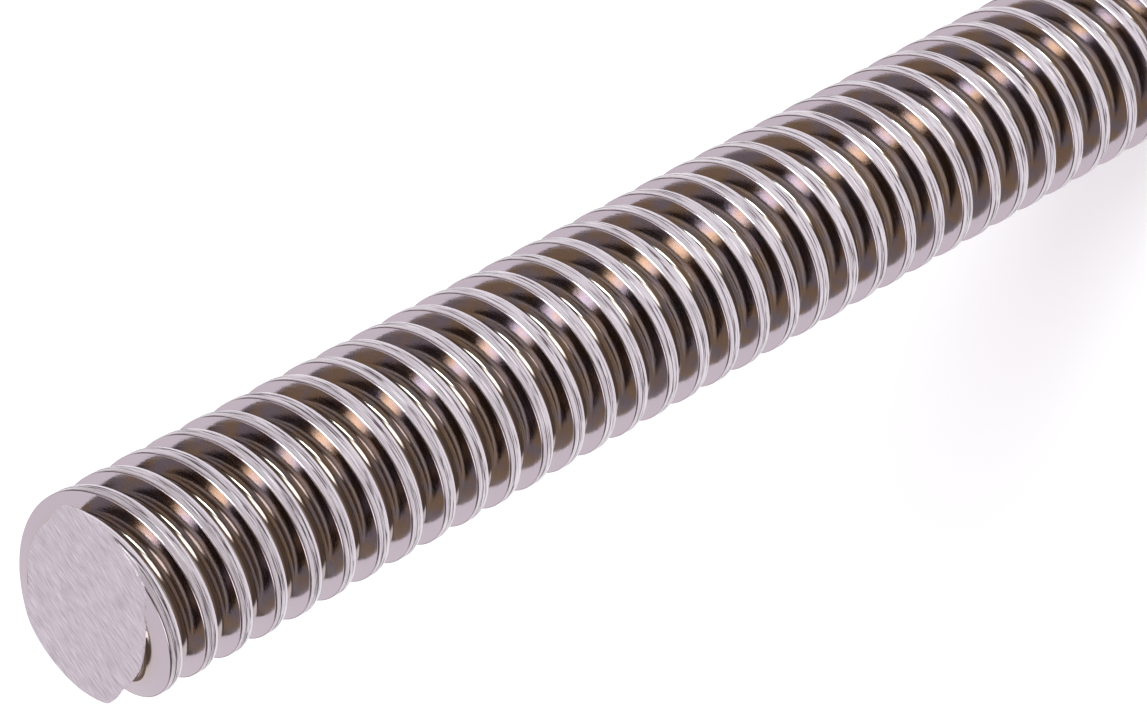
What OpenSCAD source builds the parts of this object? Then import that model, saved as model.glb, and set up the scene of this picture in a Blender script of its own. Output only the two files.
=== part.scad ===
// Trapezoidal lead screw: a plain sawn length of rolled two-start bar, standing on its lower face.
// The bar's axis is +Z and the centre of the lower sawn face is the origin.
// A right-hand thread runs out at full depth through both ends, as it does on cut stock.

/* [Bar] */
// Length between the two sawn faces
bar_length = 180; // [60:1:240]
// Diameter over the crests
major_diameter = 24; // [16:0.5:40]

/* [Thread] */
// Distance along the bar from one crest to the next
pitch = 5; // [3:0.5:8]
// Number of separate threads wound side by side
starts = 2; // [1:1:3]
// Angle between the two flanks of a groove
flank_angle = 30; // [20:1:40]
// Play below the nut's crests, added to the depth of the groove
root_clearance = 0.25; // [0.15:0.05:0.5]
// Radius of the rolled fillet where a flank meets the root
root_fillet = 0.25; // [0.1:0.05:0.5]

/* [Hidden] */
// One turn of a thread climbs by the lead, and the starts share it
lead = pitch * starts;
sector = 360 / starts;

// Trapezoidal form: crest and groove are each half a pitch wide a quarter pitch down from the crest
flank_slope = tan(flank_angle / 2);
crest_height = pitch / 4;
groove_depth = pitch / 2 + root_clearance;
crest_radius = major_diameter / 2;
root_radius = crest_radius - groove_depth;
crest_half = pitch / 4 - crest_height * flank_slope;
flank_run = groove_depth * flank_slope;
root_corner = crest_half + flank_run;

// The fillet's ends lie this far from the corner, up the flank and along the root
fillet_reach = root_fillet * tan((90 - flank_angle / 2) / 2);
fillet_top = [
    root_corner - fillet_reach * sin(flank_angle / 2),
    root_radius + fillet_reach * cos(flank_angle / 2)
];
fillet_foot = [root_corner + fillet_reach, root_radius];

// One pitch of the axial section as [height, radius], from one side of a crest up to the next crest
profile = [
    [-crest_half, crest_radius],
    [crest_half, crest_radius],
    fillet_top,
    fillet_foot,
    [pitch - fillet_foot[0], fillet_foot[1]],
    [pitch - fillet_top[0], fillet_top[1]]
];
profile_closed = concat(profile, [[pitch - crest_half, crest_radius]]);
profile_rows = len(profile);

// Columns round the bar: as many as the face budget allows, the same for every start.
// Crest and root take even steps, so a column stands at the middle of each.
face_budget = 12400;
faces_per_column = 2 * profile_rows * bar_length / pitch;
columns_per_start = 2 * floor(face_budget / faces_per_column / starts / 2);
crest_steps = 2 * max(1, round(columns_per_start * crest_half / pitch));
flank_steps = max(1, round(columns_per_start * flank_run / pitch));
root_steps = max(2, columns_per_start - crest_steps - 2 * flank_steps);

// Columns stand at the corners of the two-lobed cross-section, so the sawn faces keep them sharp
function spread(from, to, steps) = [for (k = [0:steps - 1]) from + (to - from) * k / steps];
section_marks = concat(
    spread(-crest_half, crest_half, crest_steps),
    spread(crest_half, root_corner, flank_steps),
    spread(root_corner, pitch - root_corner, root_steps),
    spread(pitch - root_corner, pitch - crest_half, flank_steps)
);
angles = [for (s = [0:starts - 1]) for (mark = section_marks) (s + mark / pitch) * sector];
columns = len(angles);

// Rows follow the helix. Enough of them lie below and above the bar for every column to be cut.
first_pitch = -starts - 1;
last_pitch = ceil(bar_length / pitch) + 1;
rows = (last_pitch - first_pitch) * profile_rows;
cut_tolerance = 0.001;

function rise(column) = lead * angles[column] / 360;
function row_height(row) = (first_pitch + floor(row / profile_rows)) * pitch + profile[row % profile_rows][0];
function height(column, row) = row_height(row) + rise(column);

// Where a sawn face at height z crosses a column, its radius is read off the profile
function from_crest(z) = z - pitch * floor((z + crest_half) / pitch);
function cut_radius(column, z) = lookup(from_crest(z - rise(column)), profile_closed);

// The last row of each column at or below the lower face, and the first at or above the upper face
lower_cut = [
    for (c = [0:columns - 1])
        max([for (r = [0:rows - 1]) height(c, r) <= cut_tolerance ? r : 0])
];
upper_cut = [
    for (c = [0:columns - 1])
        min([for (r = [0:rows - 1]) height(c, r) >= bar_length - cut_tolerance ? r : rows - 1])
];

function around(column, radius, z) = [radius * cos(angles[column]), radius * sin(angles[column]), z];
function surface_point(column, row) =
    row <= lower_cut[column] ? around(column, cut_radius(column, 0), 0) :
    row >= upper_cut[column] ? around(column, cut_radius(column, bar_length), bar_length) :
    around(column, profile[row % profile_rows][1], height(column, row));

// Past the last column comes the first again, one lead higher
function point_at(column, row) =
    column == columns ? point_at(0, row + starts * profile_rows) :
    column * rows + min(max(row, lower_cut[column]), upper_cut[column]);

function whole(face) = face[0] != face[1] && face[1] != face[2] && face[2] != face[0];

// The thread, swept as one closed skin: a helical band for each row, and a fan over each sawn face
module threaded_bar() {
    skin = [for (c = [0:columns - 1]) for (r = [0:rows - 1]) surface_point(c, r)];
    lower_centre = len(skin);
    upper_centre = lower_centre + 1;
    bands = [
        for (c = [0:columns - 1])
            for (r = [0:rows - 2])
                for (face = [
                    [point_at(c, r), point_at(c, r + 1), point_at(c + 1, r + 1)],
                    [point_at(c, r), point_at(c + 1, r + 1), point_at(c + 1, r)]
                ])
                    if (whole(face)) face
    ];
    lower_face = [for (c = [0:columns - 1]) [lower_centre, point_at(c, 0), point_at(c + 1, 0)]];
    upper_face = [for (c = [0:columns - 1]) [upper_centre, point_at(c + 1, rows - 1), point_at(c, rows - 1)]];
    polyhedron(
        points = concat(skin, [[0, 0, 0], [0, 0, bar_length]]),
        faces = concat(bands, lower_face, upper_face),
        convexity = 10
    );
}

module lead_screw() {
    color([0.78, 0.75, 0.78]) threaded_bar();
}

lead_screw();
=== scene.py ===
import math

import bpy
from mathutils import Matrix, Vector, noise


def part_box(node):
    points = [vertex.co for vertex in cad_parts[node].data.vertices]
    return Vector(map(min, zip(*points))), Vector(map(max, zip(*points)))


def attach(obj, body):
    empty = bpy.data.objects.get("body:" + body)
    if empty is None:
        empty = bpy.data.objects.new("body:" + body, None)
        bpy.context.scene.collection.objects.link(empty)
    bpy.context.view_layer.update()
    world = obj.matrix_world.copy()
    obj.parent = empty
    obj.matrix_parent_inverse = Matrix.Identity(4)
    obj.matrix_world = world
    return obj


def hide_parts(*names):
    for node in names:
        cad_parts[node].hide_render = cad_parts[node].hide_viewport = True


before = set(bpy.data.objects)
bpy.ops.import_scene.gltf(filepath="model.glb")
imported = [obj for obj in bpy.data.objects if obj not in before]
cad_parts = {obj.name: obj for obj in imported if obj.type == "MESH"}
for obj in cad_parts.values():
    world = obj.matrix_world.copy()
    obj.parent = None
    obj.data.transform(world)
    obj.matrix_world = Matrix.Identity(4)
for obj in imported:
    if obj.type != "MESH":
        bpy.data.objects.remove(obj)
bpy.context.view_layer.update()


# --- Rolled bar ---------------------------------------------------------------------------------
# A length of bright steel bar with a two-start trapezoidal thread, cold rolled between dies.
# The dies press the grooves in and the metal swells up on both sides of each crest, so a crest
# is two low lips with the rolling seam between them, and every edge is rounded.
MM = 0.001
bar_low, bar_high = (Vector(corner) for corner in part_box("lead_screw"))
crest_radius = (bar_high.x - bar_low.x) / 2
pitch = 5 * MM
starts = 2
lead = pitch * starts
groove_depth = 2.75 * MM
flank_angle = 15
root_radius = crest_radius - groove_depth
flank_slope = math.tan(math.radians(flank_angle))
crest_half = pitch / 4 - pitch / 4 * flank_slope
root_half = pitch / 2 - crest_half - groove_depth * flank_slope

# Rounds at the crest's two edges and at the foot of a flank, with the facets across each
upper_round, upper_facets = 0.24 * MM, 5
lower_round, lower_facets = 0.28 * MM, 4
root_round, root_facets = 1.05 * MM, 6

# Above the seam the crest is flat. Below a fine ledge it falls away to its lower edge.
seam_height = 0.16 * MM
seam_half_width = 0.05 * MM
seam_depth = 0.03 * MM
ledge_height = -0.42 * MM
ledge_depth = 0.025 * MM
lip_slope = 12


def arc(centre, radius, start, end, facets):
    """Points of a round, as (distance from the axis, height), between two angles in degrees."""
    turns = [math.radians(start + (end - start) * k / facets) for k in range(facets + 1)]
    return [(centre[0] + radius * math.cos(t), centre[1] + radius * math.sin(t)) for t in turns]


def crest_section():
    """Across one crest, from its lower edge to its upper edge."""
    lean = math.radians(lip_slope)
    ledge_low = ledge_height - ledge_depth
    lip = (crest_half + ledge_low - ledge_depth * flank_slope) / (1 - math.tan(lean) * flank_slope)
    fall = ledge_depth + lip * math.tan(lean)
    back = lower_round * math.tan(math.radians(90 - flank_angle - lip_slope) / 2)
    lower_centre = (
        crest_radius - fall + back * math.sin(lean) - lower_round * math.cos(lean),
        ledge_low - lip + back * math.cos(lean) + lower_round * math.sin(lean),
    )
    upper_back = upper_round * math.tan(math.radians(90 - flank_angle) / 2)
    upper_centre = (crest_radius - upper_round, crest_half - upper_back)
    points = arc(lower_centre, lower_round, flank_angle - 90, -lip_slope, lower_facets)
    points += [(crest_radius - ledge_depth, ledge_low), (crest_radius, ledge_height)]
    points += [
        (crest_radius, seam_height - seam_half_width),
        (crest_radius - seam_depth, seam_height),
        (crest_radius, seam_height + seam_half_width),
    ]
    return points + arc(upper_centre, upper_round, 0, 90 - flank_angle, upper_facets)


def groove_section():
    """Across the groove above that crest: the foot of each flank is rounded into the root."""
    full_back = root_round * math.tan(math.radians(90 - flank_angle) / 2)
    back = min(full_back, root_half)
    radius = back / full_back * root_round
    centre = (root_radius + radius, pitch / 2 - root_half + back)
    lower = arc(centre, radius, 270 - flank_angle, 180, root_facets)
    upper = [(distance, pitch - height) for distance, height in reversed(lower)]
    return lower + [(root_radius, pitch / 2)] + upper


def draw_chain(points):
    """A chain of edges, extruded point by point from the one vertex that a plane is merged to."""
    bpy.ops.object.select_all(action="DESELECT")
    bpy.ops.mesh.primitive_plane_add(size=crest_radius)
    bpy.ops.object.mode_set(mode="EDIT")
    bpy.ops.mesh.merge(type="CENTER")
    bpy.ops.transform.translate(value=(points[0][0], 0, points[0][1]))
    for before, after in zip(points, points[1:]):
        step = (after[0] - before[0], 0, after[1] - before[1])
        bpy.ops.mesh.extrude_region_move(TRANSFORM_OT_translate={"value": step})
    bpy.ops.object.mode_set(mode="OBJECT")
    return bpy.context.object


# The section of one whole lead is wound up the bar, and each turn closes on the one above it.
# The winding runs past both ends, for the saw to take off.
spare_turns = 2
steps_per_turn = 84
one_pitch = crest_section() + groove_section()
first = -spare_turns * starts
section = [(r, z + (first + start) * pitch) for start in range(starts) for r, z in one_pitch]
section.append((section[0][0], section[0][1] + lead))
bar = draw_chain(section)
bar.name = bar.data.name = "rolled_bar"
winding = bar.modifiers.new("winding", "SCREW")
winding.screw_offset = lead
winding.iterations = round((bar_high.z - bar_low.z) / lead) + 2 * spare_turns
winding.steps = winding.render_steps = steps_per_turn
winding.use_normal_calculate = True
bpy.ops.object.modifier_apply(modifier=winding.name)

# The saw cuts both ends square. The upper cut is lower by the height of the burr that it leaves.
burr_height = 0.2 * MM
upper_cut = bar_high.z - burr_height
hair = 0.001 * MM
bpy.ops.object.mode_set(mode="EDIT")
bpy.ops.mesh.select_all(action="SELECT")
bpy.ops.mesh.remove_doubles(threshold=2 * hair)
for height, outwards in ((bar_low.z, -1), (upper_cut, 1)):
    bpy.ops.mesh.select_all(action="SELECT")
    bpy.ops.mesh.bisect(
        plane_co=(0, 0, height),
        plane_no=(0, 0, outwards),
        use_fill=True,
        clear_outer=True,
        threshold=hair / 2,
    )
bpy.ops.mesh.select_all(action="SELECT")
bpy.ops.mesh.normals_make_consistent(inside=False)
bpy.ops.mesh.select_all(action="DESELECT")
bpy.ops.object.mode_set(mode="OBJECT")

# The burr is a thin ridge round the upper face: two rings are inset there, and the corners
# between them are pulled up unevenly. It is highest where the blade broke through.
burr_width = 0.13 * MM
break_through = math.radians(-54)
break_focus = 3
least_burr = 0.2
burr_grain = 0.35 * MM
fine_grain = burr_grain / 2.3
level_ends = [face for face in bar.data.polygons if abs(face.normal.z) > 0.99]
upper_face = max(level_ends, key=lambda face: face.center.z * face.area)
upper_face.select = True
bpy.ops.object.mode_set(mode="EDIT")
bpy.ops.mesh.select_mode(type="FACE")
for ring in range(2):
    bpy.ops.mesh.inset(thickness=burr_width, use_even_offset=True)
bpy.ops.object.mode_set(mode="OBJECT")

# Only a corner between the two rings touches four of the faces that lie in the cut
faces_met = {}
for face in bar.data.polygons:
    if abs(face.normal.z) > 0.99 and abs(face.center.z - upper_cut) < hair:
        for corner in face.vertices:
            faces_met[corner] = faces_met.get(corner, 0) + 1
for corner in [corner for corner, count in faces_met.items() if count == 4]:
    vertex = bar.data.vertices[corner]
    turn = math.atan2(vertex.co.y, vertex.co.x)
    nearness = max(0, math.cos(turn - break_through)) ** break_focus
    grain = noise.noise(vertex.co / burr_grain) + 0.5 * noise.noise(vertex.co / fine_grain)
    torn = min(1, max(0.05, 0.5 + 1.6 * grain))
    vertex.co.z += burr_height * (least_burr + (1 - least_burr) * nearness) * torn

# The lower cut lies exactly in the plane that the bar stands on
for vertex in bar.data.vertices:
    vertex.co.z = max(vertex.co.z, bar_low.z)

bpy.ops.object.shade_smooth_by_angle(angle=math.radians(24))
evening = bar.modifiers.new("evening", "WEIGHTED_NORMAL")
evening.keep_sharp = True
evening.weight = 90
bpy.ops.object.modifier_apply(modifier=evening.name)
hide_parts("lead_screw")
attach(bar, "root")


def add_node(tree, kind, links=None, **settings):
    """Adds a shader node with its settings, and sets or links its inputs."""
    node = tree.nodes.new(kind)
    for name, value in settings.items():
        setattr(node, name, value)
    for socket, source in (links or {}).items():
        if isinstance(source, bpy.types.NodeSocket):
            tree.links.new(source, node.inputs[socket])
        else:
            node.inputs[socket].default_value = source
    return node


def linear(hex_colour):
    """An sRGB hex colour as the linear colour that shaders take."""
    channels = [int(hex_colour[k:k + 2], 16) / 255 for k in (1, 3, 5)]
    return [c / 12.92 if c <= 0.04045 else ((c + 0.055) / 1.055) ** 2.4 for c in channels] + [1]


def new_material(name):
    """An empty material and its node tree."""
    material = bpy.data.materials.new(name)
    material.use_nodes = True
    material.node_tree.nodes.clear()
    return material, material.node_tree


# Bright cold-rolled steel: the dies burnish flanks and root to a mirror with faint rolling
# streaks along the helix, and the crests, which the dies never touch, stay satin and grainy.
steel, tree = new_material("cold_rolled_steel")
place = add_node(tree, "ShaderNodeTexCoord").outputs["Object"]
xyz = add_node(tree, "ShaderNodeSeparateXYZ", {"Vector": place}).outputs
flat = add_node(tree, "ShaderNodeCombineXYZ", {"X": xyz["X"], "Y": xyz["Y"]}).outputs[0]
radius = add_node(tree, "ShaderNodeVectorMath", {0: flat}, operation="LENGTH").outputs["Value"]

# `phase` follows the thread: it is 0 in the middle of a groove, 0.5 in the middle of the crest
# above it and 1 in the next groove
angle = add_node(tree, "ShaderNodeMath", {0: xyz["Y"], 1: xyz["X"]}, operation="ARCTAN2").outputs[0]
turns = add_node(tree, "ShaderNodeMath", {0: angle, 1: 2 * math.pi}, operation="DIVIDE").outputs[0]
climb = add_node(tree, "ShaderNodeMath", {0: xyz["Z"], 1: lead}, operation="DIVIDE").outputs[0]
unwound = add_node(tree, "ShaderNodeMath", {0: climb, 1: turns}, operation="SUBTRACT").outputs[0]
threads = add_node(
    tree, "ShaderNodeMath", {0: unwound, 1: starts, 2: 0.5}, operation="MULTIPLY_ADD"
).outputs[0]
phase = add_node(tree, "ShaderNodeMath", {0: threads}, operation="FRACT").outputs[0]

# 1 on the crest, 0 from 0.07 mm below it
crest = add_node(
    tree,
    "ShaderNodeMapRange",
    {"Value": radius, "From Min": crest_radius - 0.07 * MM, "From Max": crest_radius - 0.03 * MM},
).outputs[0]

# Rolling streaks, 6 mm long and 0.12 mm wide: the real ones are finer than a render shows
across = add_node(
    tree, "ShaderNodeMath", {0: phase, 1: pitch, 2: radius}, operation="MULTIPLY_ADD"
).outputs[0]
along = add_node(
    tree, "ShaderNodeVectorMath", {0: flat, "Scale": 1 / (6 * MM)}, operation="SCALE"
).outputs[0]
fine = add_node(tree, "ShaderNodeMath", {0: across, 1: 1 / (0.12 * MM)}, operation="MULTIPLY").outputs[0]
fine_up = add_node(tree, "ShaderNodeCombineXYZ", {"Z": fine}).outputs[0]
streak_place = add_node(tree, "ShaderNodeVectorMath", {0: along, 1: fine_up}, operation="ADD").outputs[0]
slow_climb = add_node(
    tree, "ShaderNodeMath", {0: xyz["Z"], 1: 1 / (4 * MM)}, operation="MULTIPLY"
).outputs[0]
streaks = add_node(
    tree,
    "ShaderNodeTexNoise",
    {"Vector": streak_place, "W": slow_climb, "Scale": 1.0, "Detail": 2.0},
    noise_dimensions="4D",
).outputs["Fac"]
grain = add_node(
    tree, "ShaderNodeTexNoise", {"Vector": place, "Scale": 1 / (0.25 * MM), "Detail": 3.0}
).outputs["Fac"]

# A groove's colours are painted shade: from low on the flank that faces up, through the root, the
# groove is painted a little darker and warmer, and the flank that faces down is painted much darker,
# in brown and grey blotches. `below` is the phase again, with the root at 0.25 and the crest above it at
# 0.75.
shifted = add_node(tree, "ShaderNodeMath", {0: phase, 1: 0.25}, operation="ADD").outputs[0]
below = add_node(tree, "ShaderNodeMath", {0: shifted}, operation="FRACT").outputs[0]
foot = add_node(
    tree, "ShaderNodeMapRange", {"Value": below, "From Min": 0.0, "From Max": 0.12}
).outputs[0]
brow = add_node(
    tree, "ShaderNodeMapRange", {"Value": below, "From Min": 0.6, "From Max": 0.54}
).outputs[0]
over_root = add_node(
    tree, "ShaderNodeMapRange", {"Value": below, "From Min": 0.34, "From Max": 0.46}
).outputs[0]
faces_down = add_node(tree, "ShaderNodeMath", {0: over_root, 1: brow}, operation="MULTIPLY").outputs[0]
in_groove = add_node(tree, "ShaderNodeMath", {0: foot, 1: brow}, operation="MULTIPLY").outputs[0]
# Painted shade: the groove is painted a little darker and warmer towards the root
root_painted_shade = add_node(
    tree,
    "ShaderNodeMix",
    {"Factor": in_groove, "A": linear("#cfc7cd"), "B": linear("#cac0b6")},
    data_type="RGBA",
).outputs["Result"]
blotches = add_node(
    tree, "ShaderNodeTexNoise", {"Vector": place, "Scale": 1 / (3.5 * MM), "Detail": 2.0}
).outputs["Fac"]
greyed = add_node(
    tree, "ShaderNodeMapRange", {"Value": blotches, "From Min": 0.42, "From Max": 0.6}
).outputs[0]
# Painted shade on the flank that faces down: much darker, brown and grey in blotches
underside_painted_shade = add_node(
    tree,
    "ShaderNodeMix",
    {"Factor": greyed, "A": linear("#79644f"), "B": linear("#6f6669")},
    data_type="RGBA",
).outputs["Result"]
# The groove's colour with its painted shade
groove_with_painted_shade = add_node(
    tree, "ShaderNodeMix", {"Factor": faces_down, "A": root_painted_shade, "B": underside_painted_shade}, data_type="RGBA"
).outputs["Result"]

# A crest's own colours: paler and darker brushing, 3.5 mm long and 0.11 mm wide, and broken dark
# lines where the two lips meet
seam_low = add_node(
    tree, "ShaderNodeMapRange", {"Value": phase, "From Min": 0.38, "From Max": 0.42}
).outputs[0]
seam_high = add_node(
    tree, "ShaderNodeMapRange", {"Value": phase, "From Min": 0.6, "From Max": 0.54}
).outputs[0]
lips_meet = add_node(tree, "ShaderNodeMath", {0: seam_low, 1: seam_high}, operation="MULTIPLY").outputs[0]
finer = add_node(tree, "ShaderNodeMath", {0: across, 1: 1 / (0.11 * MM)}, operation="MULTIPLY").outputs[0]
finer_up = add_node(tree, "ShaderNodeCombineXYZ", {"Z": finer}).outputs[0]
short = add_node(
    tree, "ShaderNodeVectorMath", {0: flat, "Scale": 1 / (3.5 * MM)}, operation="SCALE"
).outputs[0]
brush_place = add_node(tree, "ShaderNodeVectorMath", {0: short, 1: finer_up}, operation="ADD").outputs[0]
brushing = add_node(
    tree,
    "ShaderNodeTexNoise",
    {"Vector": brush_place, "W": slow_climb, "Scale": 1.0, "Detail": 1.0},
    noise_dimensions="4D",
).outputs["Fac"]
deepest = add_node(
    tree, "ShaderNodeMapRange", {"Value": brushing, "From Min": 0.53, "From Max": 0.6}
).outputs[0]
seam_line = add_node(tree, "ShaderNodeMath", {0: deepest, 1: lips_meet}, operation="MULTIPLY").outputs[0]
darkening = add_node(
    tree, "ShaderNodeMapRange", {"Value": brushing, "From Min": 0.3, "From Max": 0.6}
).outputs[0]
brushed = add_node(
    tree,
    "ShaderNodeMix",
    {"Factor": darkening, "A": linear("#e2dadf"), "B": linear("#c3bac0")},
    data_type="RGBA",
).outputs["Result"]
lipped = add_node(
    tree, "ShaderNodeMix", {"Factor": seam_line, "A": brushed, "B": linear("#5d5054")}, data_type="RGBA"
).outputs["Result"]

tone = add_node(
    tree, "ShaderNodeMix", {"Factor": crest, "A": groove_with_painted_shade, "B": lipped}, data_type="RGBA"
).outputs["Result"]
polish = add_node(
    tree,
    "ShaderNodeMapRange",
    {"Value": streaks, "From Min": 0.3, "From Max": 0.7, "To Min": 0.08, "To Max": 0.18},
).outputs[0]
satin = add_node(
    tree,
    "ShaderNodeMapRange",
    {"Value": grain, "From Min": 0.3, "From Max": 0.7, "To Min": 0.3, "To Max": 0.4},
).outputs[0]
gloss = add_node(tree, "ShaderNodeMix", {"Factor": crest, "A": polish, "B": satin}).outputs[0]
groove_relief = add_node(tree, "ShaderNodeMath", {0: grain, 1: streaks}, operation="ADD").outputs[0]
crest_relief = add_node(
    tree, "ShaderNodeMath", {0: brushing, 1: 5.0, 2: grain}, operation="MULTIPLY_ADD"
).outputs[0]
relief = add_node(
    tree, "ShaderNodeMix", {"Factor": crest, "A": groove_relief, "B": crest_relief}
).outputs[0]
bump = add_node(
    tree, "ShaderNodeBump", {"Height": relief, "Strength": 0.25, "Distance": 0.01 * MM}
).outputs[0]
shader = add_node(
    tree,
    "ShaderNodeBsdfPrincipled",
    {"Base Color": tone, "Metallic": 1.0, "Roughness": gloss, "Normal": bump},
).outputs["BSDF"]
add_node(tree, "ShaderNodeOutputMaterial", {"Surface": shader})

# Band-sawn steel: dull and pale, with close straight saw lines that the light catches. The lines
# are 1.8 mm long and 0.055 mm wide: the real ones are finer than a render shows.
sawn, tree = new_material("sawn_steel")
saw_direction = math.radians(67)
place = add_node(tree, "ShaderNodeTexCoord").outputs["Object"]
turned = add_node(
    tree, "ShaderNodeMapping", {"Vector": place, "Rotation": (0, 0, -saw_direction)}, vector_type="POINT"
).outputs[0]
drawn = add_node(
    tree,
    "ShaderNodeMapping",
    {"Vector": turned, "Scale": (1 / (1.8 * MM), 1 / (0.055 * MM), 1)},
    vector_type="POINT",
).outputs[0]
saw_lines = add_node(
    tree, "ShaderNodeTexNoise", {"Vector": drawn, "Scale": 1.0, "Detail": 3.0}
).outputs["Fac"]
clouds = add_node(
    tree, "ShaderNodeTexNoise", {"Vector": place, "Scale": 1 / (6 * MM), "Detail": 2.0}
).outputs["Fac"]
pale = add_node(
    tree,
    "ShaderNodeMix",
    {"Factor": clouds, "A": linear("#e1dbe3"), "B": linear("#ebe5ec")},
    data_type="RGBA",
).outputs["Result"]
scored = add_node(
    tree, "ShaderNodeMapRange", {"Value": saw_lines, "From Min": 0.6, "From Max": 0.35, "To Max": 0.9}
).outputs[0]
tone = add_node(
    tree, "ShaderNodeMix", {"Factor": scored, "A": pale, "B": linear("#aba1a8")}, data_type="RGBA"
).outputs["Result"]
dull = add_node(
    tree,
    "ShaderNodeMapRange",
    {"Value": saw_lines, "From Min": 0.3, "From Max": 0.7, "To Min": 0.52, "To Max": 0.66},
).outputs[0]
bump = add_node(
    tree, "ShaderNodeBump", {"Height": saw_lines, "Strength": 0.9, "Distance": 0.02 * MM}
).outputs[0]
shader = add_node(
    tree,
    "ShaderNodeBsdfPrincipled",
    {"Base Color": tone, "Metallic": 1.0, "Roughness": dull, "Normal": bump},
).outputs["BSDF"]
add_node(tree, "ShaderNodeOutputMaterial", {"Surface": shader})

bar.data.materials.clear()
bar.data.materials.append(steel)
bar.data.materials.append(sawn)
for face in bar.data.polygons:
    by_the_saw = face.center.z < bar_low.z + hair or face.center.z > upper_cut - hair
    face.material_index = 1 if by_the_saw else 0


# --- Camera -------------------------------------------------------------------------------------
# A long lens looks down on the upper sawn face, rolled over so that the bar runs up to the right.
# `view_side` is in degrees, because directions in the studio are given from it.
view_side = -33.66
view_height = math.radians(36.76)
view_roll = math.radians(-118.65)
stand_side = math.radians(-33.89)
stand_reach = 514.3 * MM
stand_height = 492.37 * MM
scene = bpy.context.scene
camera_data = bpy.data.cameras.new("camera")
camera_data.lens = 178.5
camera_data.sensor_width = 36
camera_data.sensor_fit = "HORIZONTAL"
camera_data.clip_start = 0.01
camera_data.clip_end = 20
camera = bpy.data.objects.new("camera", camera_data)
scene.collection.objects.link(camera)
stand = Vector((stand_reach * math.cos(stand_side), stand_reach * math.sin(stand_side), stand_height))
camera.matrix_world = (
    Matrix.Translation(stand)
    @ Matrix.Rotation(math.radians(view_side + 90), 4, "Z")
    @ Matrix.Rotation(math.pi / 2 - view_height, 4, "X")
    @ Matrix.Rotation(view_roll, 4, "Z")
)
scene.camera = camera
scene.view_settings.view_transform = "Standard"


# --- Floor --------------------------------------------------------------------------------------
# A sheet of pale paper under the bar, painted with a pool of light: pale round a middle a little
# behind the bar, and painted darker outwards to the dark of the room outside the camera's view. It
# glows a little, but only to the camera and in what the steel mirrors, so that it shows as white and lights
# nothing.
def heading(from_camera, height):
    """A direction, by its angle round the bar from the camera's side and its height, in degrees."""
    turn, climb = math.radians(view_side + from_camera), math.radians(height)
    return Vector((math.cos(climb) * math.cos(turn), math.cos(climb) * math.sin(turn), math.sin(climb)))


dark_room = linear("#5e504b")
floor_size = 6
# Middle and reach of the pool of light painted on the paper
light_pool_middle = 0.06 * heading(180, 0)
light_pool_reach = (0.32, 0.26, 1)
paper_glow = 0.52
bpy.ops.object.select_all(action="DESELECT")
bpy.ops.mesh.primitive_plane_add(size=floor_size, location=(0, 0, bar_low.z - 0.01 * MM))
floor = bpy.context.object
floor.name = "floor"
paper, tree = new_material("paper_painted_light_pool")
place = add_node(tree, "ShaderNodeTexCoord").outputs["Object"]
sheet = add_node(
    tree,
    "ShaderNodeMapping",
    {
        "Vector": place,
        "Location": light_pool_middle,
        "Rotation": (0, 0, math.radians(view_side)),
        "Scale": light_pool_reach,
    },
    vector_type="TEXTURE",
).outputs[0]
from_middle = add_node(tree, "ShaderNodeVectorMath", {0: sheet}, operation="LENGTH").outputs["Value"]
# Painted pool of light: the paper's colour darkens outwards from the middle
painted_falloff = add_node(
    tree,
    "ShaderNodeMapRange",
    {"Value": from_middle, "From Min": 1.0, "From Max": 1.8},
    interpolation_type="SMOOTHSTEP",
).outputs[0]
shade = add_node(
    tree, "ShaderNodeMix", {"Factor": painted_falloff, "A": linear("#dadadc"), "B": dark_room}, data_type="RGBA"
).outputs["Result"]
matt = add_node(tree, "ShaderNodeBsdfDiffuse", {"Color": shade}).outputs[0]
ray = add_node(tree, "ShaderNodeLightPath").outputs
seen = add_node(
    tree, "ShaderNodeMath", {0: ray["Is Camera Ray"], 1: ray["Is Glossy Ray"]}, operation="ADD"
).outputs[0]
seen = add_node(
    tree, "ShaderNodeMath", {0: seen, 1: ray["Is Transmission Ray"]}, operation="ADD"
).outputs[0]
shine = add_node(tree, "ShaderNodeMath", {0: seen, 1: paper_glow}, operation="MULTIPLY").outputs[0]
glow = add_node(tree, "ShaderNodeEmission", {"Color": shade, "Strength": shine}).outputs[0]
lit = add_node(tree, "ShaderNodeAddShader", {0: matt, 1: glow}).outputs[0]
add_node(tree, "ShaderNodeOutputMaterial", {"Surface": lit})
floor.data.materials.append(paper)


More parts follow.
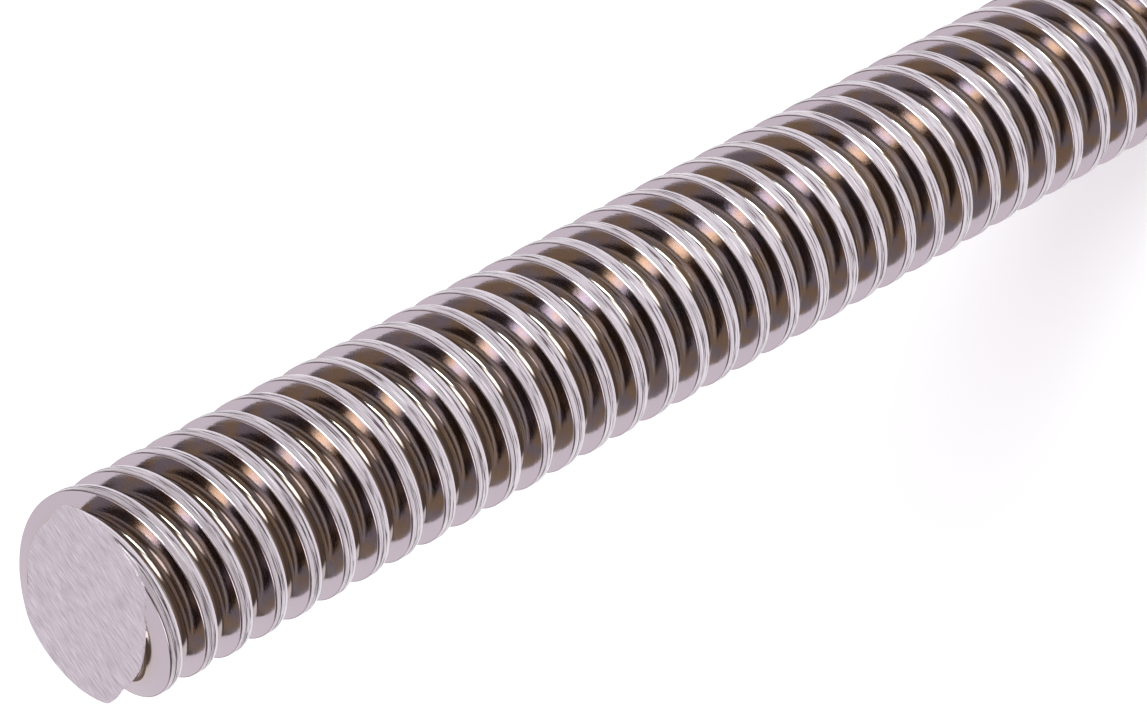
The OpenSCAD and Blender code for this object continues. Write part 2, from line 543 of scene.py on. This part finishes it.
# --- Studio -------------------------------------------------------------------------------------
# A dark room with one white wall behind the bar and seven soft lamps. A lamp has its angle round
# the bar from the camera's side and its height, the inner and outer radius between which it
# fades, all in degrees, and a strength.
room_strength = 0.9
wall_side = 178
wall_inner, wall_outer = 46, 58
lamps = [
    ("overhead", 0, 90, 9, 20, 1.8, "#fff8fa"),
    ("key", 25, 47, 2, 16, 16.5, "#f1ffff"),
    ("key_top", 48, 66, 8, 22, 0.9, "#fff8fa"),
    ("front", -5, 18, 11, 22, 2.6, "#fff8fa"),
    ("rim", -94, 47, 8, 19, 1.8, "#fff8fa"),
    ("side", 88, 56, 6, 18, 0.8, "#fff8fa"),
    ("low_side", 98, 8, 8, 20, 1.3, "#fff8fa"),
]
studio = bpy.data.worlds.new("studio")
scene.world = studio
studio.use_nodes = True
tree = studio.node_tree
tree.nodes.clear()
towards = add_node(tree, "ShaderNodeTexCoord").outputs["Generated"]
xyz = add_node(tree, "ShaderNodeSeparateXYZ", {"Vector": towards}).outputs
flat = add_node(tree, "ShaderNodeCombineXYZ", {"X": xyz["X"], "Y": xyz["Y"]}).outputs[0]
side = add_node(tree, "ShaderNodeVectorMath", {0: flat}, operation="NORMALIZE").outputs[0]
off_wall = add_node(
    tree, "ShaderNodeVectorMath", {0: side, 1: heading(wall_side, 0)}, operation="DOT_PRODUCT"
).outputs["Value"]
wall = add_node(
    tree,
    "ShaderNodeMapRange",
    {
        "Value": off_wall,
        "From Min": math.cos(math.radians(wall_outer)),
        "From Max": math.cos(math.radians(wall_inner)),
    },
    interpolation_type="SMOOTHSTEP",
).outputs[0]
room = add_node(
    tree, "ShaderNodeMix", {"Factor": wall, "A": dark_room, "B": linear("#faf2f8")}, data_type="RGBA"
).outputs["Result"]
light = add_node(tree, "ShaderNodeBackground", {"Color": room, "Strength": room_strength}).outputs[0]
for name, from_camera, height, inner, outer, strength, colour in lamps:
    off_lamp = add_node(
        tree, "ShaderNodeVectorMath", {0: towards, 1: heading(from_camera, height)}, operation="DOT_PRODUCT"
    ).outputs["Value"]
    spread = add_node(
        tree,
        "ShaderNodeMapRange",
        {
            "Value": off_lamp,
            "From Min": math.cos(math.radians(outer)),
            "From Max": math.cos(math.radians(inner)),
            "To Max": strength,
        },
        interpolation_type="SMOOTHSTEP",
    ).outputs[0]
    lamp = add_node(tree, "ShaderNodeBackground", {"Color": linear(colour), "Strength": spread}).outputs[0]
    light = add_node(tree, "ShaderNodeAddShader", {0: light, 1: lamp}).outputs[0]
add_node(tree, "ShaderNodeOutputWorld", {"Surface": light})
